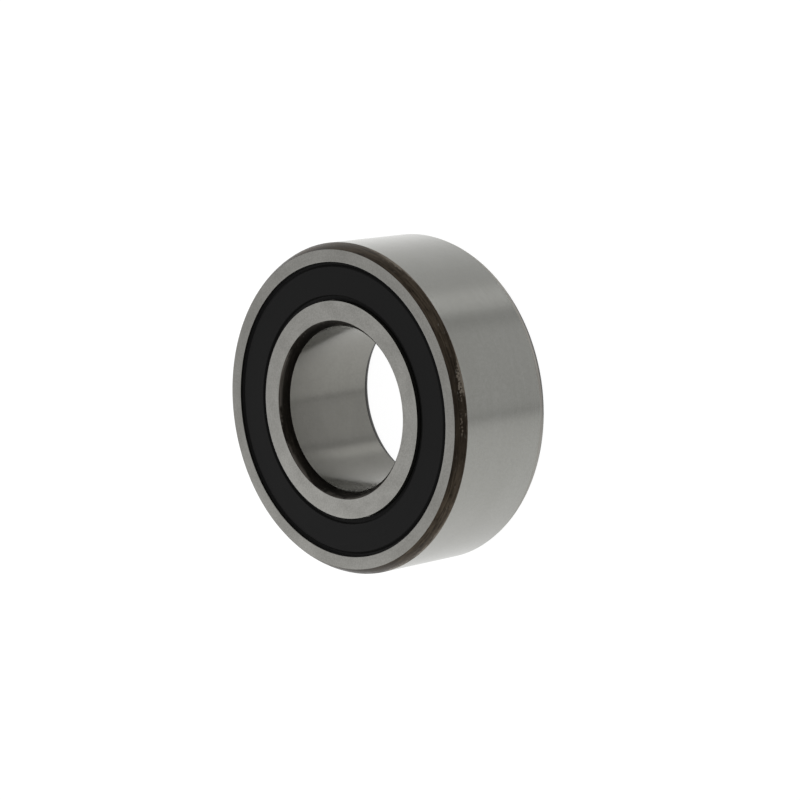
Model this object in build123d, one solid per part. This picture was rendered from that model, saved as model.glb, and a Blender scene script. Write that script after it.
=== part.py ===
from build123d import *
import os
from math import atan2, cos, radians, sin, sqrt, tan

# Sealed double-row angular contact ball bearing, lying on its rear face.
# The origin is the centre of the bearing, and +Z runs along its axis towards the front face.
# The rows are back to back: their contact lines spread apart towards the axis.
# All sizes are in millimetres and all angles in degrees.

# Boundary sizes
BORE_DIAMETER = 40.0
OUTSIDE_DIAMETER = 80.0
WIDTH = 30.2

# Turned chamfers, longer along the axis than across it, and slightly crowned
BORE_CHAMFER_RADIAL = 1.58
BORE_CHAMFER_AXIAL = 2.41
OUTSIDE_CHAMFER_RADIAL = 1.49
OUTSIDE_CHAMFER_AXIAL = 2.79
CHAMFER_CROWN = 0.2

# Balls and their grooves
BALL_DIAMETER = 11.112
BALLS_PER_ROW = 10
ROW_GAP = 1.09
CONTACT_ANGLE = 30.0
GROOVE_EXTRA_RADIUS = 0.222
RUNNING_CLEARANCE = 0.055

# Shoulders, measured up from the groove bottoms
OUTER_RIB_HEIGHT = 3.6
OUTER_LOW_SHOULDER_HEIGHT = 1.23
INNER_HIGH_SHOULDER_HEIGHT = 3.03
INNER_LOW_SHOULDER_HEIGHT = 1.23

# Seals, and the places for them in the two rings
SEAL_MOUTH_STEP = 1.1
SNAP_GROOVE_DEPTH = 0.8
SEAL_LAND_STEP = 1.17
SEAL_RECESS = 0.45
SEAL_STEP_DEPTH = 0.65
SEAL_RUBBER_COVER = 0.45
SEAL_PLAY = 0.05
BEAD_HUMP = 0.3
BEAD_SLOPE = 0.2
LIP_TROUGH_WIDTH = 1.4
LIP_SLOPE = 0.3
LIP_THICKNESS = 0.45
LIP_DROOP = 0.25
LIP_CLEARANCE = 0.06
LIP_AXIAL_GAP = 0.4

# Pressed steel washer inside each seal
STIFFENER_THICKNESS = 0.45
STIFFENER_EDGE_COVER = 0.4
STIFFENER_FOOT_REACH = 0.15
CRANK_RUN = 0.55
CRANK_SETBACK = 1.45

# Snap cages
CAGE_RADIAL_GAP = 0.8
CAGE_END_GAP = 0.4
POCKET_CLEARANCE = 0.15
THROAT_DEPTH = 1.9
LEAD_IN_HEIGHT = 0.5
LEAD_IN_FLARE = 0.4
RELIEF_WIDTH = 3.0
RELIEF_FLOOR_RISE = 2.4
CAGE_EDGE_CHAMFER = 0.4

# Worked out from the sizes above
bore_radius = BORE_DIAMETER / 2
outside_radius = OUTSIDE_DIAMETER / 2
pitch_radius = (bore_radius + outside_radius) / 2
ball_radius = BALL_DIAMETER / 2
half_width = WIDTH / 2
row_offset = (BALL_DIAMETER + ROW_GAP) / 2
ball_pitch = 360 / BALLS_PER_ROW
contact_radial = cos(radians(CONTACT_ANGLE))
contact_axial = sin(radians(CONTACT_ANGLE))
groove_radius = ball_radius + GROOVE_EXTRA_RADIUS
groove_shift = GROOVE_EXTRA_RADIUS - RUNNING_CLEARANCE

# Outer ring: its groove bears inboard of the ball, so the rib between the rows is the high shoulder
outer_groove_centre = (
    pitch_radius - groove_shift * contact_radial,
    row_offset + groove_shift * contact_axial,
)
outer_groove_bottom = outer_groove_centre[0] + groove_radius
rib_radius = outer_groove_bottom - OUTER_RIB_HEIGHT
shoulder_bore_radius = outer_groove_bottom - OUTER_LOW_SHOULDER_HEIGHT
mouth_radius = shoulder_bore_radius + SEAL_MOUTH_STEP
snap_radius = mouth_radius + SNAP_GROOVE_DEPTH

# Inner ring: its groove bears outboard of the ball, so the shoulders beside the seals are the high ones
inner_groove_centre = (
    pitch_radius + groove_shift * contact_radial,
    row_offset - groove_shift * contact_axial,
)
inner_groove_bottom = inner_groove_centre[0] - groove_radius
waist_radius = inner_groove_bottom + INNER_LOW_SHOULDER_HEIGHT
shoulder_radius = inner_groove_bottom + INNER_HIGH_SHOULDER_HEIGHT
land_radius = shoulder_radius - SEAL_LAND_STEP

# Heights of the seal's faces above the middle of the bearing
seal_face = half_width - SEAL_RECESS
seal_step = seal_face - SEAL_STEP_DEPTH
disc_top = seal_face - SEAL_RUBBER_COVER
disc_bottom = disc_top - STIFFENER_THICKNESS
foot_top = seal_step - SEAL_RUBBER_COVER
foot_bottom = foot_top - STIFFENER_THICKNESS
bead_top = seal_step + BEAD_HUMP
lip_top = seal_step - LIP_DROOP
lip_bottom = lip_top - LIP_THICKNESS

# Radii of the seal's corners
bead_radius = snap_radius - SEAL_PLAY
foot_radius = mouth_radius + STIFFENER_FOOT_REACH
crank_radius = mouth_radius - CRANK_SETBACK
crank_shift = tan(atan2(SEAL_STEP_DEPTH, CRANK_RUN) / 2)
lip_radius = land_radius + LIP_CLEARANCE
inner_edge_radius = land_radius + LIP_TROUGH_WIDTH
disc_radius = inner_edge_radius + STIFFENER_EDGE_COVER

# Cage
cage_outer_radius = shoulder_bore_radius - CAGE_RADIAL_GAP
cage_inner_radius = shoulder_radius + CAGE_RADIAL_GAP
cage_end = disc_bottom - CAGE_END_GAP
throat_height = row_offset - THROAT_DEPTH
prong_tip = throat_height - LEAD_IN_HEIGHT
pocket_radius = ball_radius + POCKET_CLEARANCE
relief_floor = row_offset + RELIEF_FLOOR_RISE


def at(radius, height):
    """A point of a half section, which lies in the XZ plane."""
    return Vector(radius, 0, height)


def half_chord(radius, offset):
    """Half the width of a circle at this distance from its centre."""
    return sqrt(radius**2 - offset**2)


def turned(outline):
    """The solid turned about the axis from the closed outline of its half section."""
    return revolve(make_face(outline), Axis.Z)


def both_sides(edges):
    """The edges of the front half of a section, and their mirror image behind the middle plane."""
    front = Curve() + edges
    return front + mirror(front, Plane.XY)


def crowned(start, end):
    """A chamfer's arc, bulging out of the ring by the crown."""
    middle = (start + end) / 2
    along = (end - start).normalized()
    outwards = Vector(along.Z, 0, -along.X)
    return ThreePointArc(start, middle + outwards * CHAMFER_CROWN, end)


def make_outer_ring():
    """Outer ring with two ball grooves, the rib between them and a snap groove at each side."""
    radial, height = outer_groove_centre
    rib_end = height - half_chord(groove_radius, rib_radius - radial)
    groove_end = height + half_chord(groove_radius, shoulder_bore_radius - radial)
    wall_end = half_width - OUTSIDE_CHAMFER_AXIAL
    front = [
        ThreePointArc(
            at(rib_radius, rib_end),
            at(outer_groove_bottom, height),
            at(shoulder_bore_radius, groove_end),
        ),
        Polyline(
            at(shoulder_bore_radius, groove_end),
            at(shoulder_bore_radius, foot_bottom),
            at(snap_radius, foot_bottom),
            at(snap_radius, bead_top + SEAL_PLAY),
            at(mouth_radius, bead_top + SEAL_PLAY),
            at(mouth_radius, half_width),
            at(outside_radius - OUTSIDE_CHAMFER_RADIAL, half_width),
        ),
        crowned(at(outside_radius, wall_end), at(outside_radius - OUTSIDE_CHAMFER_RADIAL, half_width)),
    ]
    rib = Line(at(rib_radius, -rib_end), at(rib_radius, rib_end))
    wall = Line(at(outside_radius, -wall_end), at(outside_radius, wall_end))
    return turned(both_sides(front) + rib + wall)


def make_inner_ring():
    """Inner ring with two ball grooves, a low waist between them and a seal land at each side."""
    radial, height = inner_groove_centre
    waist_end = height - half_chord(groove_radius, radial - waist_radius)
    groove_end = height + half_chord(groove_radius, radial - shoulder_radius)
    wall_end = half_width - BORE_CHAMFER_AXIAL
    shoulder_end = lip_bottom - LIP_AXIAL_GAP
    front = [
        ThreePointArc(
            at(waist_radius, waist_end),
            at(inner_groove_bottom, height),
            at(shoulder_radius, groove_end),
        ),
        Polyline(
            at(shoulder_radius, groove_end),
            at(shoulder_radius, shoulder_end),
            at(land_radius, shoulder_end),
            at(land_radius, half_width),
            at(bore_radius + BORE_CHAMFER_RADIAL, half_width),
        ),
        crowned(at(bore_radius + BORE_CHAMFER_RADIAL, half_width), at(bore_radius, wall_end)),
    ]
    waist = Line(at(waist_radius, -waist_end), at(waist_radius, waist_end))
    wall = Line(at(bore_radius, -wall_end), at(bore_radius, wall_end))
    return turned(both_sides(front) + waist + wall)


def make_seal():
    """Rubber of the front seal: bead in the snap groove, stepped face, and lip at the inner ring's land."""
    cover_shift = SEAL_RUBBER_COVER * crank_shift
    outline = Polyline(
        at(foot_radius, foot_bottom),
        at(bead_radius, foot_bottom),
        at(bead_radius, bead_top),
        at(mouth_radius, bead_top),
        at(mouth_radius - BEAD_SLOPE, seal_step),
        at(crank_radius + CRANK_RUN + cover_shift, seal_step),
        at(crank_radius + cover_shift, seal_face),
        at(inner_edge_radius, seal_face),
        at(inner_edge_radius - LIP_SLOPE, seal_step),
        at(lip_radius, lip_top),
        at(lip_radius, lip_bottom),
        at(inner_edge_radius - LIP_SLOPE, lip_bottom),
        at(inner_edge_radius, disc_bottom),
        at(disc_radius, disc_bottom),
        at(disc_radius, disc_top),
        at(crank_radius, disc_top),
        at(crank_radius + CRANK_RUN, foot_top),
        at(foot_radius, foot_top),
        close=True,
    )
    return turned(outline)


def make_stiffener():
    """Cranked steel washer under the rubber of the front seal, with its foot on the outer ring's seat."""
    sheet_shift = STIFFENER_THICKNESS * crank_shift
    outline = Polyline(
        at(disc_radius, disc_top),
        at(crank_radius, disc_top),
        at(crank_radius + CRANK_RUN, foot_top),
        at(foot_radius, foot_top),
        at(foot_radius, foot_bottom),
        at(crank_radius + CRANK_RUN - sheet_shift, foot_bottom),
        at(crank_radius - sheet_shift, disc_bottom),
        at(disc_radius, disc_bottom),
        close=True,
    )
    return turned(outline)


def ball_places():
    """The places of the front row's balls, each with its X axis pointing away from the bearing's axis."""
    first = Pos(pitch_radius, 0, row_offset)
    return [Rot(0, 0, ball_pitch * count) * first for count in range(BALLS_PER_ROW)]


def make_cage():
    """Snap cage of the front row: an end ring, and pairs of prongs between the pockets of the balls."""
    blank = turned(
        Polyline(
            at(cage_inner_radius, prong_tip),
            at(cage_outer_radius, prong_tip),
            at(cage_outer_radius, cage_end - CAGE_EDGE_CHAMFER),
            at(cage_outer_radius - CAGE_EDGE_CHAMFER, cage_end),
            at(cage_inner_radius + CAGE_EDGE_CHAMFER, cage_end),
            at(cage_inner_radius, cage_end - CAGE_EDGE_CHAMFER),
            close=True,
        )
    )
    throat_radius = half_chord(pocket_radius, THROAT_DEPTH)
    lead_in = Pos(0, 0, prong_tip - row_offset) * Cone(
        throat_radius + LEAD_IN_FLARE,
        throat_radius,
        LEAD_IN_HEIGHT,
        align=(Align.CENTER, Align.CENTER, Align.MIN),
    )
    pocket = Sphere(pocket_radius) + lead_in
    # Slot with a round floor between neighbouring prongs, cut outwards through the cage
    facing_out = Plane((0, 0, relief_floor), x_dir=(0, 1, 0), z_dir=(1, 0, 0))
    relief_height = relief_floor - prong_tip
    slot = Pos(0, -relief_height / 2) * Rectangle(RELIEF_WIDTH, relief_height) + Circle(RELIEF_WIDTH / 2)
    relief = extrude(facing_out * slot, outside_radius)
    reliefs = [Rot(0, 0, ball_pitch * (count + 0.5)) * relief for count in range(BALLS_PER_ROW)]
    return blank - [place * pocket for place in ball_places()] - reliefs


def front_half():
    """Every piece that belongs to the front side, by name."""
    pieces = {"seal": make_seal(), "seal_stiffener": make_stiffener(), "cage": make_cage()}
    for number, place in enumerate(ball_places(), start=1):
        pieces[f"ball_{number:02d}"] = place * Sphere(ball_radius)
    return pieces


def main():
    pieces = {"outer_ring": make_outer_ring(), "inner_ring": make_inner_ring()}
    for name, piece in front_half().items():
        pieces[f"front_{name}"] = piece
        # The rear side is the front's mirror image, turned by half the step between balls
        pieces[f"rear_{name}"] = Rot(0, 0, ball_pitch / 2) * mirror(piece, Plane.XY)
    os.makedirs("parts", exist_ok=True)
    for name, piece in pieces.items():
        piece.label = name
        export_step(piece, f"parts/{name}.step")


main()
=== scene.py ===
"""Looks of the sealed double-row angular contact ball bearing.

The rings and seals are turned afresh over their CAD nodes, with broken edges and a finish for each
ground, turned or moulded zone. Balls, cages and stiffeners keep their CAD meshes and get finishes.
Sizes are in millimetres up to the point where a mesh is made, and Blender's metres after it.
"""

from math import atan2, cos, hypot, pi, radians, sin, sqrt, tan

import bpy
from mathutils import Matrix, Vector


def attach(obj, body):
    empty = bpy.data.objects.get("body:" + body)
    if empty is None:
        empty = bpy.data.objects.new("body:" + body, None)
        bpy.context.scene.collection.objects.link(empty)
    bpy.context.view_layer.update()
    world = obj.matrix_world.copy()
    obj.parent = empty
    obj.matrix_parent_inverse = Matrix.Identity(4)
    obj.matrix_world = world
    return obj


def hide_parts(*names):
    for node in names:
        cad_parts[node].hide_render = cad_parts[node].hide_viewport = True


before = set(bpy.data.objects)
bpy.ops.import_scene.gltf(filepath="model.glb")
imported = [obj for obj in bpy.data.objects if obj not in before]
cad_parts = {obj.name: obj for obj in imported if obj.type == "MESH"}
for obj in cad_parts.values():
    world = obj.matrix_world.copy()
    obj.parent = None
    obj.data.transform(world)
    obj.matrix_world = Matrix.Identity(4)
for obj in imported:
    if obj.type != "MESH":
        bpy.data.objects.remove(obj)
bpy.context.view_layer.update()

MM = 0.001

# ---------------------------------------------------------------- sizes, as in the CAD

BORE_RADIUS = 20.0
OUTSIDE_RADIUS = 40.0
HALF_WIDTH = 15.1
PITCH_RADIUS = 30.0
BALL_RADIUS = 5.556
ROW_OFFSET = 6.101
BORE_CHAMFER = (1.58, 2.41)
OUTSIDE_CHAMFER = (1.49, 2.79)
CHAMFER_CROWN = 0.2

# Ball grooves, and the shoulders measured up from the groove bottoms
CONTACT_ANGLE = radians(30)
GROOVE_EXTRA_RADIUS = 0.222
RUNNING_CLEARANCE = 0.055
OUTER_RIB_HEIGHT = 3.6
OUTER_LOW_SHOULDER_HEIGHT = 1.23
INNER_HIGH_SHOULDER_HEIGHT = 3.03
INNER_LOW_SHOULDER_HEIGHT = 1.23

# Seals, and the places for them in the two rings
SEAL_MOUTH_STEP = 1.1
SNAP_GROOVE_DEPTH = 0.8
SEAL_LAND_STEP = 1.17
SEAL_RECESS = 0.45
SEAL_STEP_DEPTH = 0.65
SEAL_RUBBER_COVER = 0.45
SEAL_PLAY = 0.05
BEAD_HUMP = 0.3
BEAD_SLOPE = 0.2
LIP_TROUGH_WIDTH = 1.4
LIP_SLOPE = 0.3
LIP_THICKNESS = 0.45
LIP_DROOP = 0.25
LIP_CLEARANCE = 0.06
LIP_AXIAL_GAP = 0.4
STIFFENER_THICKNESS = 0.45
STIFFENER_EDGE_COVER = 0.4
STIFFENER_FOOT_REACH = 0.15
CRANK_RUN = 0.55
CRANK_SETBACK = 1.45

# Outer ring's bores, from the rib between the rows out to the seal's snap groove
GROOVE_RADIUS = BALL_RADIUS + GROOVE_EXTRA_RADIUS
GROOVE_SHIFT = GROOVE_EXTRA_RADIUS - RUNNING_CLEARANCE
OUTER_GROOVE = (
    PITCH_RADIUS - GROOVE_SHIFT * cos(CONTACT_ANGLE),
    ROW_OFFSET + GROOVE_SHIFT * sin(CONTACT_ANGLE),
)
OUTER_GROOVE_BOTTOM = OUTER_GROOVE[0] + GROOVE_RADIUS
RIB_RADIUS = OUTER_GROOVE_BOTTOM - OUTER_RIB_HEIGHT
SHOULDER_BORE_RADIUS = OUTER_GROOVE_BOTTOM - OUTER_LOW_SHOULDER_HEIGHT
MOUTH_RADIUS = SHOULDER_BORE_RADIUS + SEAL_MOUTH_STEP
SNAP_RADIUS = MOUTH_RADIUS + SNAP_GROOVE_DEPTH

# Inner ring's outside steps, from the waist between the rows out to the seal's land
INNER_GROOVE = (
    PITCH_RADIUS + GROOVE_SHIFT * cos(CONTACT_ANGLE),
    ROW_OFFSET - GROOVE_SHIFT * sin(CONTACT_ANGLE),
)
INNER_GROOVE_BOTTOM = INNER_GROOVE[0] - GROOVE_RADIUS
WAIST_RADIUS = INNER_GROOVE_BOTTOM + INNER_LOW_SHOULDER_HEIGHT
SHOULDER_RADIUS = INNER_GROOVE_BOTTOM + INNER_HIGH_SHOULDER_HEIGHT
LAND_RADIUS = SHOULDER_RADIUS - SEAL_LAND_STEP

# Heights of the seal's levels above the middle of the bearing
SEAL_FACE = HALF_WIDTH - SEAL_RECESS
SEAL_STEP = SEAL_FACE - SEAL_STEP_DEPTH
DISC_TOP = SEAL_FACE - SEAL_RUBBER_COVER
DISC_BOTTOM = DISC_TOP - STIFFENER_THICKNESS
FOOT_TOP = SEAL_STEP - SEAL_RUBBER_COVER
FOOT_BOTTOM = FOOT_TOP - STIFFENER_THICKNESS
BEAD_TOP = SEAL_STEP + BEAD_HUMP
LIP_TOP = SEAL_STEP - LIP_DROOP
LIP_BOTTOM = LIP_TOP - LIP_THICKNESS
INNER_SHOULDER_END = LIP_BOTTOM - LIP_AXIAL_GAP

# Radii of the seal's corners
BEAD_RADIUS = SNAP_RADIUS - SEAL_PLAY
FOOT_RADIUS = MOUTH_RADIUS + STIFFENER_FOOT_REACH
CRANK_RADIUS = MOUTH_RADIUS - CRANK_SETBACK
COVER_SHIFT = SEAL_RUBBER_COVER * tan(atan2(SEAL_STEP_DEPTH, CRANK_RUN) / 2)
INNER_EDGE_RADIUS = LAND_RADIUS + LIP_TROUGH_WIDTH
LIP_RADIUS = LAND_RADIUS + LIP_CLEARANCE
STIFFENER_EDGE_RADIUS = INNER_EDGE_RADIUS + STIFFENER_EDGE_COVER

# ---------------------------------------------------------------- sizes of the turned meshes

# Radii of the broken edges. The moulded ones are smaller where the rubber is thin
GROUND_EDGE = 0.1
BORE_EDGE = 0.14
MOULDED_EDGE = 0.12
MOULDED_BEND = 0.1
THIN_EDGE = 0.05
EDGE_STEPS = 3
EDGE_SUPPORT = 0.07

CHAMFER_STEPS = 6
GROOVE_STEPS = 24
STEPS_AROUND = 384
SEAM_WIDTH = 0.002
SHARP_ANGLE = radians(40)


# ---------------------------------------------------------------- small helpers


def linear(code):
    """A colour as linear RGBA, from its sRGB hex code."""
    parts = [int(code[i : i + 2], 16) / 255 for i in (1, 3, 5)]
    return [p / 12.92 if p <= 0.04045 else ((p + 0.055) / 1.055) ** 2.4 for p in parts] + [1.0]


def add(tree, kind, inputs=None, **settings):
    """Adds a node with its settings. Each input is a value, a colour's hex code, or the socket
    that feeds it."""
    made = tree.nodes.new(kind)
    for name, value in settings.items():
        setattr(made, name, value)
    for key, value in (inputs or {}).items():
        if isinstance(value, bpy.types.NodeSocket):
            tree.links.new(value, made.inputs[key])
        elif isinstance(value, str) and value.startswith("#"):
            made.inputs[key].default_value = linear(value)
        else:
            made.inputs[key].default_value = value
    return made


def set_stops(ramp_node, stops):
    """Gives a colour ramp its stops, each a position and a grey level."""
    ramp = ramp_node.color_ramp
    while len(ramp.elements) > 1:
        ramp.elements.remove(ramp.elements[0])
    for number, (position, level) in enumerate(stops):
        stop = ramp.elements[0] if number == 0 else ramp.elements.new(position)
        stop.position = position
        stop.color = (level, level, level, 1.0)


# ---------------------------------------------------------------- camera

# Fitted to the photograph's ring edges: the bearing lies on its rear face, and the camera looks
# down on it, rolled so that the bearing's +X points up in the picture as in the photograph
FOCAL_PIXELS = 2956.0
PICTURE_PIXELS = 800
SENSOR_WIDTH = 36.0
camera_data = bpy.data.cameras.new("camera")
camera_data.sensor_width = SENSOR_WIDTH
camera_data.lens = FOCAL_PIXELS / PICTURE_PIXELS * SENSOR_WIDTH
camera_data.clip_start = 0.01
camera_data.clip_end = 20.0
camera = bpy.data.objects.new("camera", camera_data)
bpy.context.scene.collection.objects.link(camera)
picture_right = Vector((-0.16228, -0.68397, -0.71123))
picture_up = Vector((0.98673, -0.11249, -0.11697))
camera_axes = Matrix((picture_right, picture_up, picture_right.cross(picture_up))).transposed()
camera_place = Vector((0.03, -519.13, 493.94)) * MM
camera.matrix_world = Matrix.Translation(camera_place) @ camera_axes.to_4x4()
bpy.context.scene.camera = camera


# ---------------------------------------------------------------- materials

# Nearly all of a noise lies between these two levels. As From Min and From Max of a Map Range node,
# they spread it from 0 to 1, or from To Min to To Max, which are the node's inputs 3 and 4
SPREAD = {1: 0.3, 2: 0.7}

# Grain of the patterns that run the same in every direction
MOTTLE_GRAIN = 0.55
RUBBER_GRAIN = 0.12
HAZE_GRAIN = 1.4
CRYSTAL_GRAIN = 0.2


def start_material(name):
    """A material, with its empty node tree."""
    material = bpy.data.materials.new(name)
    material.use_nodes = True
    material.node_tree.nodes.clear()
    return material, material.node_tree


def lay_noise(tree, along, across, detail=2.0, roughness=0.5, turn=0.0):
    """Noise drawn out round the bearing's axis: along and across are its grain in millimetres, and
    turn moves the pattern round. It has no seam, as the angle enters as a point of a circle."""
    fineness = 1.0 / (across * MM)
    place = add(tree, "ShaderNodeTexCoord").outputs["Object"]
    flat = add(
        tree, "ShaderNodeVectorMath", {0: place, 1: (1.0, 1.0, 0.0)}, operation="MULTIPLY"
    ).outputs[0]
    radius = add(tree, "ShaderNodeVectorMath", {0: flat}, operation="LENGTH").outputs["Value"]
    heading = add(tree, "ShaderNodeVectorMath", {0: flat}, operation="NORMALIZE").outputs[0]
    if turn:
        heading = add(
            tree,
            "ShaderNodeVectorRotate",
            {"Vector": heading, "Angle": -turn},
            rotation_type="Z_AXIS",
        ).outputs[0]
    round_axis = add(
        tree, "ShaderNodeVectorMath", {0: heading, "Scale": PITCH_RADIUS / along}, operation="SCALE"
    ).outputs[0]
    height = add(
        tree, "ShaderNodeVectorMath", {0: place, 1: (0.0, 0.0, fineness)}, operation="MULTIPLY"
    ).outputs[0]
    point = add(
        tree, "ShaderNodeVectorMath", {0: round_axis, 1: height}, operation="ADD"
    ).outputs[0]
    outwards = add(
        tree, "ShaderNodeMath", {0: radius, 1: fineness}, operation="MULTIPLY"
    ).outputs[0]
    return add(
        tree,
        "ShaderNodeTexNoise",
        {"Vector": point, "W": outwards, "Scale": 1.0, "Detail": detail, "Roughness": roughness},
        noise_dimensions="4D",
    ).outputs[0]


def varied(tree, noise, tones, rough):
    """A surface's colour and roughness, each of which a noise varies between two values."""
    share = add(tree, "ShaderNodeMapRange", {0: noise, **SPREAD}).outputs[0]
    colour = add(tree, "ShaderNodeMix", {0: share, 6: tones[0], 7: tones[1]}, data_type="RGBA")
    roughness = add(tree, "ShaderNodeMapRange", {0: noise, **SPREAD, 3: rough[0], 4: rough[1]})
    return colour.outputs[2], roughness.outputs[0]


def ground_steel(name, tone, pale, roughness, anisotropy, line, patch, grain):
    """Hardened bearing steel, ground: fine lines run round the axis, so light spreads across them.
    Line, patch and grain are the widths in millimetres of the lines, the cloudy patches and the
    short marks that break the lines up."""
    material, tree = start_material(name)
    lines = lay_noise(tree, along=26.0, across=line, detail=3.0, roughness=0.6)
    patches = lay_noise(tree, along=patch, across=patch * 0.6)
    place = add(tree, "ShaderNodeTexCoord").outputs["Object"]
    marks = add(
        tree, "ShaderNodeTexNoise", {"Vector": place, "Scale": 1.0 / (grain * MM)}
    ).outputs[0]
    fine, rough = varied(tree, lines, (tone, pale), (roughness * 0.92, roughness * 1.1))
    speckled, cloudy = (
        add(
            tree,
            "ShaderNodeMix",
            {0: add(tree, "ShaderNodeMapRange", {0: noise, **span}).outputs[0], 6: tone, 7: pale},
            data_type="RGBA",
        ).outputs[2]
        for noise, span in ((marks, {1: 0.35, 2: 0.65}), (patches, SPREAD))
    )
    colour = cloudy
    for layer in (fine, speckled):
        colour = add(
            tree, "ShaderNodeMix", {0: 0.4, 6: colour, 7: layer}, data_type="RGBA"
        ).outputs[2]
    bump = add(tree, "ShaderNodeBump", {"Height": lines, "Strength": 0.05, "Distance": 0.003 * MM})
    tangent = add(tree, "ShaderNodeTangent", direction_type="RADIAL", axis="Z")
    shader = add(
        tree,
        "ShaderNodeBsdfPrincipled",
        {
            "Base Color": colour,
            "Metallic": 1.0,
            "Roughness": rough,
            "Anisotropic": anisotropy,
            "Anisotropic Rotation": 0.25,
            "Normal": bump.outputs[0],
            "Tangent": tangent.outputs[0],
        },
    )
    add(tree, "ShaderNodeOutputMaterial", {"Surface": shader.outputs[0]})
    return material


# Real grinding and honing lines are about 0.02 mm apart or finer. On all five ground finishes they
# are drawn 0.08 to 0.18 mm apart, so that they show

# Ground outside diameter: satin, drawn out along the axis where light meets the grinding lines
outside_ground = ground_steel(
    "bearing_steel_centreless_ground",
    tone="#8f8f8a",
    pale="#989894",
    roughness=0.21,
    anisotropy=0.93,
    line=0.12,
    patch=14.0,
    grain=0.6,
)
# Ground bore: the same steel, a little duller. Its tone is darker than the outside diameter's,
# which is painted shade of the inside of the hole
bore_ground_shaded = ground_steel(
    "bearing_steel_bore_ground",
    tone="#7b7a75",
    pale="#84837e",
    roughness=0.245,
    anisotropy=0.89,
    line=0.14,
    patch=9.0,
    grain=0.6,
)
# Side faces: flat ground on a disc, an even grey with short marks. The outer ring's is a touch
# darker
inner_side = ground_steel(
    "bearing_steel_inner_face_ground",
    tone="#797874",
    pale="#9a9995",
    roughness=0.42,
    anisotropy=0.4,
    line=0.18,
    patch=6.0,
    grain=0.3,
)
outer_side = ground_steel(
    "bearing_steel_outer_face_ground",
    tone="#72716d",
    pale="#92918d",
    roughness=0.42,
    anisotropy=0.4,
    line=0.18,
    patch=7.0,
    grain=0.3,
)
# Raceways and seal lands: honed bright
raceway_honed = ground_steel(
    "bearing_steel_raceway_honed",
    tone="#9a9993",
    pale="#a5a49e",
    roughness=0.16,
    anisotropy=0.5,
    line=0.08,
    patch=6.0,
    grain=0.4,
)


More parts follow.
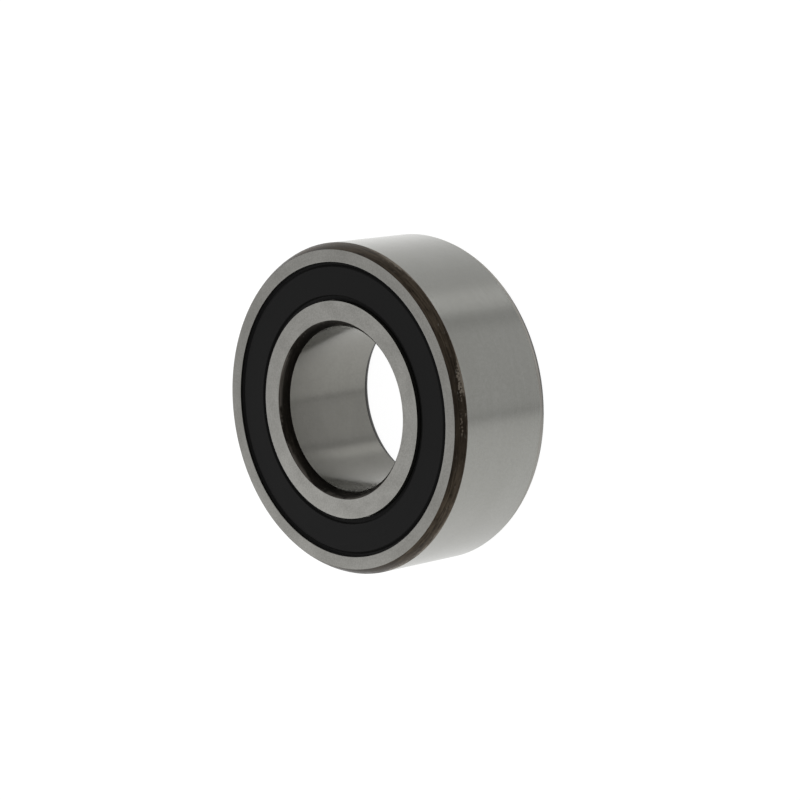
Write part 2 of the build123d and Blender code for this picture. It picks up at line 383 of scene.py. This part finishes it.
def make_scale(name, dark, brown, rubbed, bare, front, rear, patch_rise, specks_from):
    """Chamfers left as turned and heat treated: a dark oxide scale over turning lines, rubbed paler
    in patches and down to bare steel in specks. All along the rear the pale colour is partly
    rubbing and partly a painted reflection, the sheen that such scale gives back at a grazing
    angle. Front and rear each give the distance in millimetres from the middle plane where the pale
    colour starts, and where it is full. Patch_rise is how far patches push that, and the specks are
    faintest at specks_from."""
    material, tree = start_material(name)
    # The turning lines are a usual feed apart, 0.16 mm
    lines = lay_noise(tree, along=9.0, across=0.16, detail=3.0, roughness=0.6)
    streaks = lay_noise(tree, along=3.5, across=0.3, detail=3.0, roughness=0.6)
    clouds = lay_noise(tree, along=16.0, across=4.0, detail=3.0, roughness=0.6, turn=radians(21))
    shades = lay_noise(tree, along=30.0, across=5.0, detail=1.0)
    specks = lay_noise(tree, along=0.9, across=0.4)
    place = add(tree, "ShaderNodeTexCoord").outputs["Object"]
    mottle = add(
        tree,
        "ShaderNodeTexNoise",
        {"Vector": place, "Scale": 1.0 / (MOTTLE_GRAIN * MM), "Detail": 3.0},
    ).outputs[0]
    height = add(tree, "ShaderNodeSeparateXYZ", {0: place}).outputs["Z"]
    behind = add(tree, "ShaderNodeMath", {0: height, 1: 0.0}, operation="LESS_THAN").outputs[0]
    height = add(tree, "ShaderNodeMath", {0: height}, operation="ABSOLUTE").outputs[0]

    # Where the scale is rubbed, on each side of the bearing. On the rear this share also carries
    # painted reflection
    patches = add(tree, "ShaderNodeMapRange", {0: clouds, 1: 0.47, 2: 0.62, 4: patch_rise * MM})
    speckle = add(tree, "ShaderNodeMapRange", {0: mottle, 1: 0.35, 2: 0.65, 3: 0.4})
    lift = add(
        tree, "ShaderNodeMath", {0: patches.outputs[0], 1: speckle.outputs[0]}, operation="MULTIPLY"
    ).outputs[0]
    lifted = add(tree, "ShaderNodeMath", {0: height, 1: lift}, operation="SUBTRACT").outputs[0]
    worn_front, rear_rub_and_sheen_share = (
        add(tree, "ShaderNodeMapRange", {0: lifted, 1: start * MM, 2: full * MM}).outputs[0]
        for start, full in (front, rear)
    )
    rub_and_sheen_share = add(
        tree, "ShaderNodeMix", {0: behind, 2: worn_front, 3: rear_rub_and_sheen_share}, data_type="FLOAT"
    ).outputs[0]

    # The scale's own colour, each noise laying one tone over what is there
    grime = dark
    for noise, start, end, most, tone in (
        (streaks, 0.38, 0.62, 1.0, brown),
        (mottle, 0.3, 0.7, 0.35, brown),
        (shades, 0.4, 0.6, 0.7, dark),
    ):
        share = add(tree, "ShaderNodeMapRange", {0: noise, 1: start, 2: end, 4: most}).outputs[0]
        grime = add(
            tree, "ShaderNodeMix", {0: share, 6: grime, 7: tone}, data_type="RGBA"
        ).outputs[2]

    # The rubbed colour, paler on the tops of the turning ridges. On the rear it is paler
    # throughout, which is painted reflection as well as rubbing
    ridge_tops = add(tree, "ShaderNodeMapRange", {0: lines, 1: 0.4, 2: 0.6, 3: 0.3}).outputs[0]
    pale_front, rear_rub_and_sheen_tone = (
        add(tree, "ShaderNodeMix", {0: ridge_tops, 6: low, 7: high}, data_type="RGBA").outputs[2]
        for low, high in ((brown, rubbed), (rubbed, bare))
    )
    # The rear's paler tone here is painted reflection as well as rubbing
    pale = add(
        tree, "ShaderNodeMix", {0: behind, 6: pale_front, 7: rear_rub_and_sheen_tone}, data_type="RGBA"
    ).outputs[2]
    colour = add(tree, "ShaderNodeMix", {0: rub_and_sheen_share, 6: grime, 7: pale}, data_type="RGBA").outputs[2]

    # Bare specks, thick in the cloudy patches and towards the rubbed edge
    speck = add(tree, "ShaderNodeMapRange", {0: specks, 1: 0.62, 2: 0.76, 4: 0.5}).outputs[0]
    reach = add(
        tree, "ShaderNodeMapRange", {0: height, 1: specks_from * MM, 2: front[1] * MM, 3: 0.1}
    ).outputs[0]
    crowd = add(tree, "ShaderNodeMapRange", {0: clouds, 1: 0.45, 2: 0.6, 3: 0.25}).outputs[0]
    for share in (reach, crowd):
        speck = add(tree, "ShaderNodeMath", {0: share, 1: speck}, operation="MULTIPLY").outputs[0]
    colour = add(
        tree, "ShaderNodeMix", {0: speck, 6: colour, 7: bare}, data_type="RGBA"
    ).outputs[2]

    rough = add(tree, "ShaderNodeMapRange", {0: streaks, **SPREAD, 3: 0.4, 4: 0.6})
    ridges = add(tree, "ShaderNodeMath", {0: lines, 1: streaks}, operation="ADD").outputs[0]
    bump = add(tree, "ShaderNodeBump", {"Height": ridges, "Strength": 0.4, "Distance": 0.02 * MM})
    shader = add(
        tree,
        "ShaderNodeBsdfPrincipled",
        {
            "Base Color": colour,
            "Metallic": 1.0,
            "Roughness": rough.outputs[0],
            "Normal": bump.outputs[0],
        },
    )
    add(tree, "ShaderNodeOutputMaterial", {"Surface": shader.outputs[0]})
    return material


# Outside chamfers are rubbed grey beside the outside diameter, by handling and rolling about. The
# rear one is paler over a wider band, partly rubbing and partly a painted reflection of the bright
# surroundings at a grazing angle: its rim is pale in the photograph
outside_scale = make_scale(
    "bearing_steel_heat_scale_outside",
    dark="#1a1612",
    brown="#494137",
    rubbed="#655f57",
    bare="#9c9a94",
    front=(12.5, 12.05),
    rear=(13.9, 13.3),
    patch_rise=1.8,
    specks_from=14.6,
)
# Bore chamfers keep their black scale, and are rubbed only beside the ground side face. Their rear
# band is paler, partly rubbing and partly painted reflection, as on the outside chamfers
bore_scale = make_scale(
    "bearing_steel_heat_scale_bore",
    dark="#0e0d0b",
    brown="#2a2622",
    rubbed="#5f5b56",
    bare="#6f6b66",
    front=(14.3, 15.2),
    rear=(14.3, 15.2),
    patch_rise=1.3,
    specks_from=13.5,
)


def make_rubber():
    """Moulded nitrile rubber: charcoal black and matt, with the fine grain of an eroded mould. The
    real grain is a few hundredths of a millimetre, and is drawn coarser so that it shows."""
    material, tree = start_material("nitrile_rubber_moulded")
    place = add(tree, "ShaderNodeTexCoord").outputs["Object"]
    grain = add(
        tree,
        "ShaderNodeTexNoise",
        {"Vector": place, "Scale": 1.0 / (RUBBER_GRAIN * MM), "Detail": 3.0},
    ).outputs[0]
    flow = lay_noise(tree, along=7.0, across=1.2)
    colour, rough = varied(tree, flow, ("#101010", "#141414"), (0.55, 0.66))
    bump = add(tree, "ShaderNodeBump", {"Height": grain, "Strength": 0.2, "Distance": 0.01 * MM})
    shader = add(
        tree,
        "ShaderNodeBsdfPrincipled",
        {
            "Base Color": colour,
            "Roughness": rough,
            "Specular IOR Level": 0.08,
            "Normal": bump.outputs[0],
        },
    )
    add(tree, "ShaderNodeOutputMaterial", {"Surface": shader.outputs[0]})
    return material


def make_ball_steel():
    """Lapped ball steel: nearly a mirror, with a bluish grey cast and a breath of lapping haze."""
    material, tree = start_material("ball_steel_lapped")
    place = add(tree, "ShaderNodeTexCoord").outputs["Object"]
    haze = add(
        tree,
        "ShaderNodeTexNoise",
        {"Vector": place, "Scale": 1.0 / (HAZE_GRAIN * MM), "Detail": 3.0},
    ).outputs[0]
    colour, rough = varied(tree, haze, ("#a4a7a9", "#b0b2b3"), (0.05, 0.1))
    shader = add(
        tree,
        "ShaderNodeBsdfPrincipled",
        {"Base Color": colour, "Metallic": 1.0, "Roughness": rough},
    )
    add(tree, "ShaderNodeOutputMaterial", {"Surface": shader.outputs[0]})
    return material


def make_polyamide():
    """Injection moulded polyamide with glass fibre: off-white, satin, with fibres near the skin.
    The real fibres are about 0.01 mm thick, and are drawn as coarser streaks so that they show."""
    material, tree = start_material("polyamide_glass_filled")
    fibres = lay_noise(tree, along=2.2, across=0.25, detail=3.0, roughness=0.6)
    colour, rough = varied(tree, fibres, ("#cfc4a4", "#ddd4b9"), (0.38, 0.5))
    bump = add(tree, "ShaderNodeBump", {"Height": fibres, "Strength": 0.15, "Distance": 0.01 * MM})
    shader = add(
        tree,
        "ShaderNodeBsdfPrincipled",
        {
            "Base Color": colour,
            "Roughness": rough,
            "Subsurface Weight": 0.1,
            "Subsurface Radius": (0.4 * MM, 0.3 * MM, 0.2 * MM),
            "Normal": bump.outputs[0],
        },
    )
    add(tree, "ShaderNodeOutputMaterial", {"Surface": shader.outputs[0]})
    return material


def make_stiffener_steel():
    """Cold rolled and phosphated sheet: dull dark grey, speckled by the phosphate crystals. Real
    ones are a few hundredths of a millimetre wide, and are drawn coarser so that they show."""
    material, tree = start_material("sheet_steel_phosphated")
    place = add(tree, "ShaderNodeTexCoord").outputs["Object"]
    crystals = add(
        tree,
        "ShaderNodeTexNoise",
        {"Vector": place, "Scale": 1.0 / (CRYSTAL_GRAIN * MM), "Detail": 3.0},
    ).outputs[0]
    colour, rough = varied(tree, crystals, ("#5a5b59", "#737470"), (0.48, 0.64))
    shader = add(
        tree,
        "ShaderNodeBsdfPrincipled",
        {"Base Color": colour, "Metallic": 1.0, "Roughness": rough},
    )
    add(tree, "ShaderNodeOutputMaterial", {"Surface": shader.outputs[0]})
    return material


seal_rubber = make_rubber()
ball_steel = make_ball_steel()
polyamide = make_polyamide()
stiffener_steel = make_stiffener_steel()


# ---------------------------------------------------------------- outlines

# An outline is a closed run of corners, each a radius, a height, an edge radius and the finish of
# the stretch after it. It runs so that the piece is on its left, which turns its faces outwards


def arc_points(centre, start, end, steps, finish):
    """Corners along the arc round a centre, from one point to another the short way."""
    first = atan2(start[1] - centre[1], start[0] - centre[0])
    turn = atan2(end[1] - centre[1], end[0] - centre[0]) - first
    turn = (turn + pi) % (2 * pi) - pi
    size = hypot(start[0] - centre[0], start[1] - centre[1])
    angles = [first + turn * step / steps for step in range(steps)]
    return [(centre[0] + size * cos(a), centre[1] + size * sin(a), 0.0, finish) for a in angles]


def crowned(start, end, edge, finish):
    """Corners along a chamfer's crowned arc, which bulges out of the ring."""
    length = hypot(end[0] - start[0], end[1] - start[1])
    size = (length**2 / 4 + CHAMFER_CROWN**2) / (2 * CHAMFER_CROWN)
    middle = ((start[0] + end[0]) / 2, (start[1] + end[1]) / 2)
    inwards = (-(end[1] - start[1]) / length, (end[0] - start[0]) / length)
    reach = size - CHAMFER_CROWN
    centre = (middle[0] + inwards[0] * reach, middle[1] + inwards[1] * reach)
    points = arc_points(centre, start, end, CHAMFER_STEPS, finish)
    return [(*points[0][:2], edge, finish), *points[1:]]


def mirrored(front, first_finish):
    """An outline's front half, then the same corners behind the middle plane, run backwards."""
    finishes = [corner[3] for corner in front]
    rear = [
        (radius, -height, edge, finishes[number - 1] if number else first_finish)
        for number, (radius, height, edge, _) in reversed(list(enumerate(front)))
    ]
    return front + rear


def rounded(corners):
    """The outline with its edges broken, as points with a radius, a height and the finish of the
    stretch after it. A support point beside each broken edge keeps the flat next to it flat in
    smooth shading."""
    points = []
    for number, (radius, height, edge, finish) in enumerate(corners):
        before = corners[number - 1]
        after = corners[(number + 1) % len(corners)]
        if edge == 0:
            points.append((radius, height, finish))
            continue
        corner = Vector((radius, height))
        to_before = (Vector(before[:2]) - corner).normalized()
        to_after = (Vector(after[:2]) - corner).normalized()
        half = to_before.angle(to_after) / 2
        reach = edge / tan(half)
        centre = corner + (to_before + to_after).normalized() * edge / sin(half)
        start, end = corner + to_before * reach, corner + to_after * reach
        arc = arc_points(centre, start, end, EDGE_STEPS, finish)
        halfway = (len(arc) + 1) // 2
        points.append((*(start + to_before * EDGE_SUPPORT), before[3]))
        for step, point in enumerate(arc):
            points.append((*point[:2], before[3] if step < halfway else finish))
        points.append((*end, finish))
        points.append((*(end + to_after * EDGE_SUPPORT), finish))
    return points


def on_groove(centre, radius, side):
    """Where a groove's circle meets a radius, on its inboard (-1) or outboard (1) side."""
    return radius, centre[1] + side * sqrt(GROOVE_RADIUS**2 - (radius - centre[0]) ** 2)


def outer_ring_outline():
    """The outer ring's section, from the outside diameter over the front face to the rib."""
    face, wall, chamfer, inside = outer_side, outside_ground, outside_scale, raceway_honed
    wall_end = (OUTSIDE_RADIUS, HALF_WIDTH - OUTSIDE_CHAMFER[1])
    face_edge = (OUTSIDE_RADIUS - OUTSIDE_CHAMFER[0], HALF_WIDTH)
    rib_end = on_groove(OUTER_GROOVE, RIB_RADIUS, -1)
    groove_end = on_groove(OUTER_GROOVE, SHOULDER_BORE_RADIUS, 1)
    front = [
        *crowned(wall_end, face_edge, GROUND_EDGE, chamfer),
        (*face_edge, GROUND_EDGE, face),
        (MOUTH_RADIUS, HALF_WIDTH, GROUND_EDGE, inside),
        (MOUTH_RADIUS, BEAD_TOP + SEAL_PLAY, 0.0, inside),
        (SNAP_RADIUS, BEAD_TOP + SEAL_PLAY, 0.0, inside),
        (SNAP_RADIUS, FOOT_BOTTOM, 0.0, inside),
        (SHOULDER_BORE_RADIUS, FOOT_BOTTOM, 0.0, inside),
        *arc_points(OUTER_GROOVE, groove_end, rib_end, GROOVE_STEPS, inside),
        (*rib_end, 0.0, inside),
    ]
    return mirrored(front, wall)


def inner_ring_outline():
    """The inner ring's section, from the waist over the front face to the bore."""
    # The bore's wall finish carries painted shade in its darker tone
    face, wall, chamfer, inside = inner_side, bore_ground_shaded, bore_scale, raceway_honed
    wall_end = (BORE_RADIUS, HALF_WIDTH - BORE_CHAMFER[1])
    face_edge = (BORE_RADIUS + BORE_CHAMFER[0], HALF_WIDTH)
    waist_end = on_groove(INNER_GROOVE, WAIST_RADIUS, -1)
    groove_end = on_groove(INNER_GROOVE, SHOULDER_RADIUS, 1)
    front = [
        *arc_points(INNER_GROOVE, waist_end, groove_end, GROOVE_STEPS, inside),
        (*groove_end, 0.0, inside),
        (SHOULDER_RADIUS, INNER_SHOULDER_END, 0.0, inside),
        (LAND_RADIUS, INNER_SHOULDER_END, 0.0, inside),
        (LAND_RADIUS, HALF_WIDTH, GROUND_EDGE, face),
        *crowned(face_edge, wall_end, BORE_EDGE, chamfer),
        (*wall_end, BORE_EDGE, wall),
    ]
    return mirrored(front, inside)


def seal_outline():
    """The seal's section, with the bead in its snap groove, the cranked cover, the lip and the bed
    of the stiffener."""
    corners = (
        (FOOT_RADIUS, FOOT_BOTTOM, 0.0),
        (BEAD_RADIUS, FOOT_BOTTOM, MOULDED_EDGE),
        (BEAD_RADIUS, BEAD_TOP, MOULDED_EDGE),
        (MOUTH_RADIUS, BEAD_TOP, 0.0),
        (MOUTH_RADIUS - BEAD_SLOPE, SEAL_STEP, THIN_EDGE),
        (CRANK_RADIUS + CRANK_RUN + COVER_SHIFT, SEAL_STEP, MOULDED_BEND),
        (CRANK_RADIUS + COVER_SHIFT, SEAL_FACE, MOULDED_EDGE),
        (INNER_EDGE_RADIUS, SEAL_FACE, MOULDED_EDGE),
        (INNER_EDGE_RADIUS - LIP_SLOPE, SEAL_STEP, MOULDED_BEND),
        (LIP_RADIUS, LIP_TOP, THIN_EDGE),
        (LIP_RADIUS, LIP_BOTTOM, THIN_EDGE),
        (INNER_EDGE_RADIUS - LIP_SLOPE, LIP_BOTTOM, MOULDED_BEND),
        (INNER_EDGE_RADIUS, DISC_BOTTOM, 0.0),
        (STIFFENER_EDGE_RADIUS, DISC_BOTTOM, 0.0),
        (STIFFENER_EDGE_RADIUS, DISC_TOP, 0.0),
        (CRANK_RADIUS, DISC_TOP, 0.0),
        (CRANK_RADIUS + CRANK_RUN, FOOT_TOP, 0.0),
        (FOOT_RADIUS, FOOT_TOP, 0.0),
    )
    return [(*corner, seal_rubber) for corner in corners]


# ---------------------------------------------------------------- the lathe


def make_lathe(finishes):
    """A tree that turns the profile it is given about the Z axis. The profile is a run of points
    in the XZ plane, and each point's finish is that of the stretch after it."""
    tree = bpy.data.node_groups.new("lathe", "GeometryNodeTree")
    tree.interface.new_socket("Profile", in_out="INPUT", socket_type="NodeSocketGeometry")
    tree.interface.new_socket("Steps around", in_out="INPUT", socket_type="NodeSocketInt")
    tree.interface.new_socket("Seam width", in_out="INPUT", socket_type="NodeSocketFloat")
    tree.interface.new_socket("Turned piece", in_out="OUTPUT", socket_type="NodeSocketGeometry")
    given = add(tree, "NodeGroupInput").outputs
    profile, steps = given["Profile"], given["Steps around"]

    # A grid with a row for each point of the closed profile and a column for each step around
    count = add(tree, "GeometryNodeAttributeDomainSize", {0: profile}).outputs["Point Count"]
    rows = add(tree, "ShaderNodeMath", {0: count, 1: 1.0}, operation="ADD").outputs[0]
    columns = add(tree, "ShaderNodeMath", {0: steps, 1: 1.0}, operation="ADD").outputs[0]
    grid = add(
        tree, "GeometryNodeMeshGrid", {"Vertices X": columns, "Vertices Y": rows}
    ).outputs["Mesh"]
    index = add(tree, "GeometryNodeInputIndex").outputs[0]

    # Each vertex goes to its profile point, turned about the axis by its column's angle
    row = add(tree, "ShaderNodeMath", {0: index, 1: rows}, operation="MODULO").outputs[0]
    row = add(tree, "ShaderNodeMath", {0: row, 1: count}, operation="MODULO").outputs[0]
    column = add(tree, "ShaderNodeMath", {0: index, 1: rows}, operation="DIVIDE").outputs[0]
    column = add(tree, "ShaderNodeMath", {0: column}, operation="FLOOR").outputs[0]
    share = add(tree, "ShaderNodeMath", {0: column, 1: steps}, operation="DIVIDE").outputs[0]
    angle = add(tree, "ShaderNodeMath", {0: share, 1: 2 * pi}, operation="MULTIPLY").outputs[0]
    position = add(tree, "GeometryNodeInputPosition").outputs[0]
    corner = add(
        tree,
        "GeometryNodeSampleIndex",
        {"Geometry": profile, "Value": position, "Index": row},
        data_type="FLOAT_VECTOR",
        domain="POINT",
    ).outputs[0]
    place = add(
        tree, "ShaderNodeVectorRotate", {"Vector": corner, "Angle": angle}, rotation_type="Z_AXIS"
    ).outputs[0]
    turned = add(tree, "GeometryNodeSetPosition", {"Geometry": grid, "Position": place}).outputs[0]

    # Each face takes the finish of its stretch of the profile
    stretch = add(tree, "ShaderNodeMath", {0: index, 1: count}, operation="MODULO").outputs[0]
    named = add(
        tree, "GeometryNodeInputNamedAttribute", {"Name": "finish"}, data_type="INT"
    ).outputs[0]
    finish = add(
        tree,
        "GeometryNodeSampleIndex",
        {"Geometry": profile, "Value": named, "Index": stretch},
        data_type="INT",
        domain="POINT",
    ).outputs[0]
    marked = add(
        tree,
        "GeometryNodeStoreNamedAttribute",
        {"Geometry": turned, "Name": "finish", "Value": finish},
        data_type="INT",
        domain="FACE",
    ).outputs[0]

    closed = add(
        tree, "GeometryNodeMergeByDistance", {"Geometry": marked, "Distance": given["Seam width"]}
    ).outputs[0]
    smooth = add(tree, "GeometryNodeSetShadeSmooth", {"Geometry": closed}).outputs[0]
    piece = add(tree, "GeometryNodeRealizeInstances", {"Geometry": smooth}).outputs[0]
    for number, material in enumerate(finishes):
        here = add(
            tree,
            "FunctionNodeCompare",
            {"A": named, "B": float(number)},
            data_type="FLOAT",
            operation="EQUAL",
        ).outputs[0]
        piece = add(
            tree,
            "GeometryNodeSetMaterial",
            {"Geometry": piece, "Selection": here, "Material": material},
        ).outputs[0]
    add(tree, "NodeGroupOutput", {0: piece})
    return tree


def turn_piece(name, outline, flipped=False):
    """The plain mesh that the lathe turns from an outline, mirrored to the rear side if asked."""
    points = rounded(outline)
    if flipped:
        points = [(radius, -height, finish) for radius, height, finish in points]
    finishes = list(dict.fromkeys(point[2] for point in points))
    profile = bpy.data.meshes.new(name)
    profile.from_pydata([(r * MM, 0.0, h * MM) for r, h, _ in points], [], [])
    marks = profile.attributes.new("finish", "INT", "POINT")
    marks.data.foreach_set("value", [finishes.index(point[2]) for point in points])
    blank = bpy.data.objects.new(name + "_blank", profile)
    bpy.context.scene.collection.objects.link(blank)
    tree = make_lathe(finishes)
    modifier = blank.modifiers.new("lathe", "NODES")
    modifier.node_group = tree
    inputs = {i.name: i.identifier for i in tree.interface.items_tree if i.in_out == "INPUT"}
    modifier[inputs["Steps around"]] = STEPS_AROUND
    modifier[inputs["Seam width"]] = SEAM_WIDTH * MM
    bpy.context.view_layer.update()
    turned = blank.evaluated_get(bpy.context.evaluated_depsgraph_get())
    mesh = bpy.data.meshes.new_from_object(turned)
    bpy.data.objects.remove(blank)
    if flipped:
        mesh.flip_normals()
    mesh.attributes.remove(mesh.attributes["finish"])
    for slot in [number for number, material in enumerate(mesh.materials) if material is None]:
        mesh.materials.pop(index=slot)
    mesh.set_sharp_from_angle(angle=SHARP_ANGLE)
    mesh.name = name
    piece = bpy.data.objects.new(name, mesh)
    bpy.context.scene.collection.objects.link(piece)
    return piece


for name, outline, body, node, slot, flipped in (
    ("outer_ring_turned", outer_ring_outline(), "outer", "outer_ring", "ring_steel", False),
    ("inner_ring_turned", inner_ring_outline(), "inner", "inner_ring", "ring_steel", False),
    ("front_seal_moulded", seal_outline(), "outer", "front_seal", "seal_rubber", False),
    ("rear_seal_moulded", seal_outline(), "outer", "rear_seal", "seal_rubber", True),
):
    piece = turn_piece(name, outline, flipped)
    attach(piece, body)
    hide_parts(node)

for name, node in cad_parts.items():
    if node.hide_render:
        continue
    finish = ball_steel if "ball" in name else polyamide if "cage" in name else stiffener_steel
    node.material_slots[0].material = finish


# ---------------------------------------------------------------- studio

FLOOR_HALF = 4.0
FLOOR_GAP = 0.02
FLOOR_HEIGHT = (-HALF_WIDTH - FLOOR_GAP) * MM
SHADOW_SHARE = 0.12
PAPER_GLOW = 1.1


def make_floor():
    """White paper sweep. The camera sees it as white with the bearing's faint shadow, and steel
    sees the studio's white walls through it, as it does round the real one."""
    mesh = bpy.data.meshes.new("floor")
    corners = [
        (x * FLOOR_HALF, y * FLOOR_HALF, FLOOR_HEIGHT)
        for x, y in ((-1, -1), (1, -1), (1, 1), (-1, 1))
    ]
    mesh.from_pydata(corners, [], [(0, 1, 2, 3)])
    floor = bpy.data.objects.new("floor", mesh)
    bpy.context.scene.collection.objects.link(floor)
    material, tree = start_material("white_paper_sweep")
    ray = add(tree, "ShaderNodeLightPath").outputs
    paper = add(tree, "ShaderNodeBsdfDiffuse", {"Color": "#f2f2f2"}).outputs[0]
    white = add(
        tree, "ShaderNodeEmission", {"Color": "#ffffff", "Strength": PAPER_GLOW}
    ).outputs[0]
    seen = add(tree, "ShaderNodeMixShader", {0: SHADOW_SHARE, 1: white, 2: paper}).outputs[0]
    direct = add(
        tree, "ShaderNodeMixShader", {0: ray["Is Camera Ray"], 1: paper, 2: seen}
    ).outputs[0]
    mirrored_ray = add(
        tree,
        "ShaderNodeMath",
        {0: ray["Is Glossy Ray"], 1: ray["Is Transmission Ray"]},
        operation="MAXIMUM",
    ).outputs[0]
    through = add(tree, "ShaderNodeBsdfTransparent").outputs[0]
    surface = add(tree, "ShaderNodeMixShader", {0: mirrored_ray, 1: direct, 2: through}).outputs[0]
    add(tree, "ShaderNodeOutputMaterial", {"Surface": surface})
    mesh.materials.append(material)


make_floor()


# How bright the tent's wall is by its angle from +Y round to +X, in degrees: bright beyond the
# bearing, with a strip light from 118 to 129 and gaps between cards at 134 and 200. The strip light
# stands in the upper part only, which is a good deal brighter than the lower
WALL_UPPER = (
    (0, 2.00), (30, 2.00), (60, 1.65), (98, 1.30), (113, 1.30), (118, 2.80), (123, 2.90),
    (129, 2.50), (132, 0.84), (136, 0.80), (140, 1.34), (190, 1.42), (198, 1.30), (200, 0.90),
    (203, 1.05), (207, 1.50), (225, 1.65), (280, 1.85), (340, 1.95), (360, 2.00),
)  # fmt: skip
WALL_LOWER = (
    (0, 1.29), (30, 1.32), (60, 0.93), (90, 0.73), (109, 0.70), (127, 0.70), (132, 0.50),
    (136, 0.48), (140, 0.65), (180, 0.62), (198, 0.61), (200, 0.45), (203, 0.62), (207, 0.84),
    (225, 0.91), (280, 1.05), (340, 1.16), (360, 1.29),
)  # fmt: skip
# The ramps hold the wall's levels as shares of this one
RAMP_TOP = 4.0
TENT_ROOF = 0.93
TENT_BASE = 1.0
# From just below the horizon upwards, the wall has this share of its level
HORIZON_SHARE = 0.7

# Where one part of the tent turns into the next, as a direction's height: 1 is straight up, 0 is
# level and -1 is straight down. Each pair says where the change begins and where it is complete,
# as From Min and From Max of a Map Range node
ROOF_CHANGE = {1: 0.0, 2: 0.45}
LOWER_CHANGE = {1: -0.48, 2: -0.62}
HORIZON_CHANGE = {1: -0.4, 2: -0.26}
BASE_CHANGE = {1: -0.88, 2: -0.96}


def make_world():
    """A white tent round the bearing. The wall shows below the horizon too, where the floor lets
    mirrored rays through, and turns into the roof above it. The camera sees plain white."""
    world = bpy.data.worlds.new("studio")
    world.use_nodes = True
    tree = world.node_tree
    tree.nodes.clear()
    direction = add(tree, "ShaderNodeTexCoord").outputs["Generated"]
    heading = add(tree, "ShaderNodeSeparateXYZ", {0: direction}).outputs
    angle = add(
        tree, "ShaderNodeMath", {0: heading["X"], 1: heading["Y"]}, operation="ARCTAN2"
    ).outputs[0]
    turn = add(tree, "ShaderNodeMath", {0: angle, 1: 2 * pi}, operation="DIVIDE").outputs[0]
    share = add(tree, "ShaderNodeMath", {0: turn}, operation="FRACT").outputs[0]
    upper, lower = (add(tree, "ShaderNodeValToRGB", {0: share}) for _ in range(2))
    for cards, stops in ((upper, WALL_UPPER), (lower, WALL_LOWER)):
        set_stops(cards, [(degrees / 360, level / RAMP_TOP) for degrees, level in stops])
    high, low, base = (
        add(tree, "ShaderNodeMapRange", {0: heading["Z"], **change}).outputs[0]
        for change in (ROOF_CHANGE, LOWER_CHANGE, BASE_CHANGE)
    )
    wall = add(
        tree,
        "ShaderNodeMix",
        {0: low, 6: upper.outputs[0], 7: lower.outputs[0]},
        data_type="RGBA",
    ).outputs[2]
    dimmed = add(
        tree,
        "ShaderNodeMapRange",
        {0: heading["Z"], **HORIZON_CHANGE, 3: RAMP_TOP, 4: RAMP_TOP * HORIZON_SHARE},
    ).outputs[0]
    level = add(tree, "ShaderNodeMath", {0: wall, 1: dimmed}, operation="MULTIPLY").outputs[0]
    ray = add(tree, "ShaderNodeLightPath").outputs
    for part, brightness in ((base, TENT_BASE), (high, TENT_ROOF), (ray["Is Camera Ray"], 1.0)):
        level = add(
            tree, "ShaderNodeMix", {0: part, 2: level, 3: brightness}, data_type="FLOAT"
        ).outputs[0]
    background = add(tree, "ShaderNodeBackground", {"Color": "#ffffff", "Strength": level})
    add(tree, "ShaderNodeOutputWorld", {0: background.outputs[0]})
    bpy.context.scene.world = world


make_world()


# A soft lamp stands near the bearing, at the left of the photograph. It is so near that the side
# faces are paler on that side than on the other. Its place and size are in millimetres
SOFTBOX_PLACE = (-60.0, 148.0, 92.0)
SOFTBOX_SIZE = 120.0
SOFTBOX_WATTS = 0.021


def make_softbox():
    """The near lamp, a disc that faces the bearing. The camera doesn't see it."""
    data = bpy.data.lights.new("near_softbox", "AREA")
    data.shape = "DISK"
    data.size = SOFTBOX_SIZE * MM
    data.energy = SOFTBOX_WATTS
    softbox = bpy.data.objects.new("near_softbox", data)
    bpy.context.scene.collection.objects.link(softbox)
    place = Vector(SOFTBOX_PLACE) * MM
    facing = place.to_track_quat("Z", "Y").to_matrix().to_4x4()
    softbox.matrix_world = Matrix.Translation(place) @ facing
    softbox.visible_camera = False


make_softbox()

bpy.context.scene.view_settings.view_transform = "Standard"
